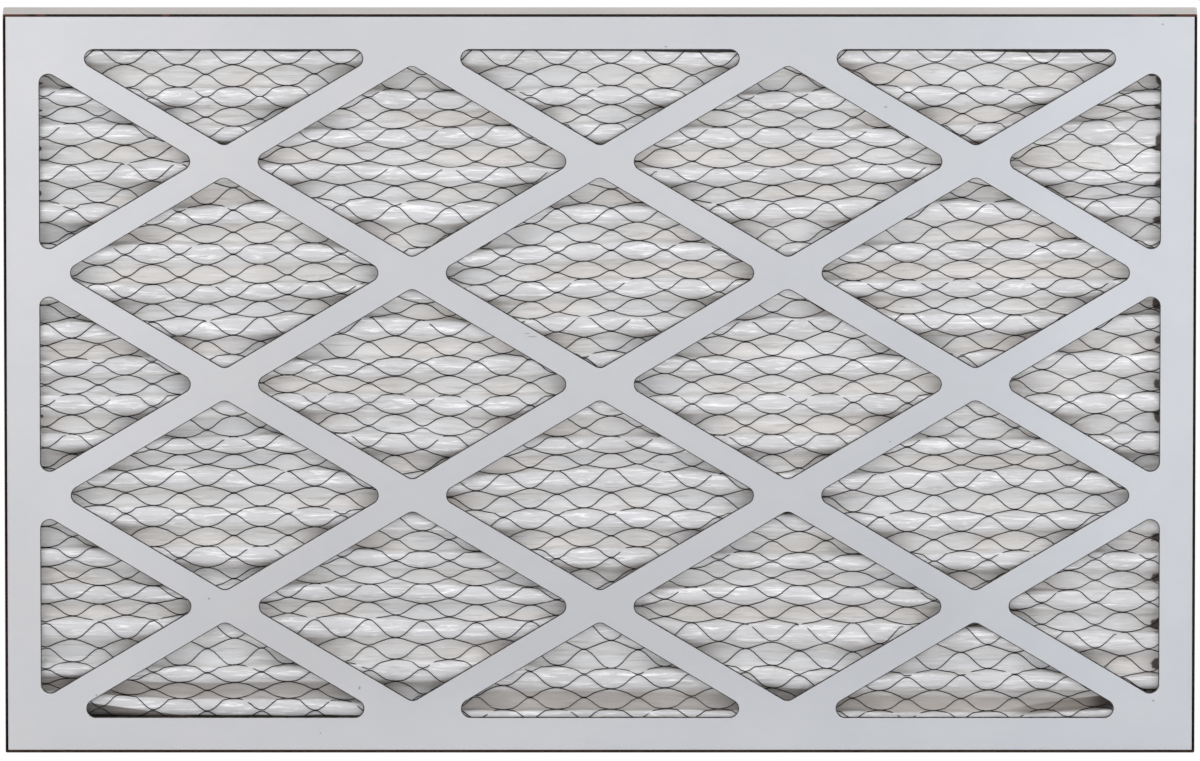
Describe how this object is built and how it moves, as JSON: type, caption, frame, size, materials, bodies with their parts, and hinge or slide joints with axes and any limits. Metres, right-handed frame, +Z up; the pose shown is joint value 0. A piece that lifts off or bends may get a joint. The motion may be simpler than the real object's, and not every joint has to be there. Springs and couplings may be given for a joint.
{
  "type": "pleated panel air filter",
  "caption": "Rectangular panel filter: pleated fibre media backed by an expanded metal mesh, held in a shallow board frame with a diagonal lattice over each face.",
  "frame": {"origin": "middle of the long lower edge, on the surface that the filter stands on", "axes": "+X along the length, +Y through the depth towards the rear lattice, +Z up the height; the face with the mesh, which the air leaves by, looks towards -Y"},
  "size_m": [0.622, 0.019, 0.394],
  "materials": {
    "face_board": "matt, printed pale blue-grey, dark cut edges",
    "wall_board": "matt warm pale grey",
    "media_fibre": "soft off-white lofted fibre with fine streaks",
    "mesh_steel": "dull dark grey expanded steel",
    "seal_adhesive": "cream hot-melt adhesive"
  },
  "bodies": {
    "root": {"front_frame": "face_board", "rear_frame": "wall_board", "pleated_media": "media_fibre", "support_mesh": "mesh_steel", "end_seal_left": "seal_adhesive", "end_seal_right": "seal_adhesive"}
  },
  "joints": []
}
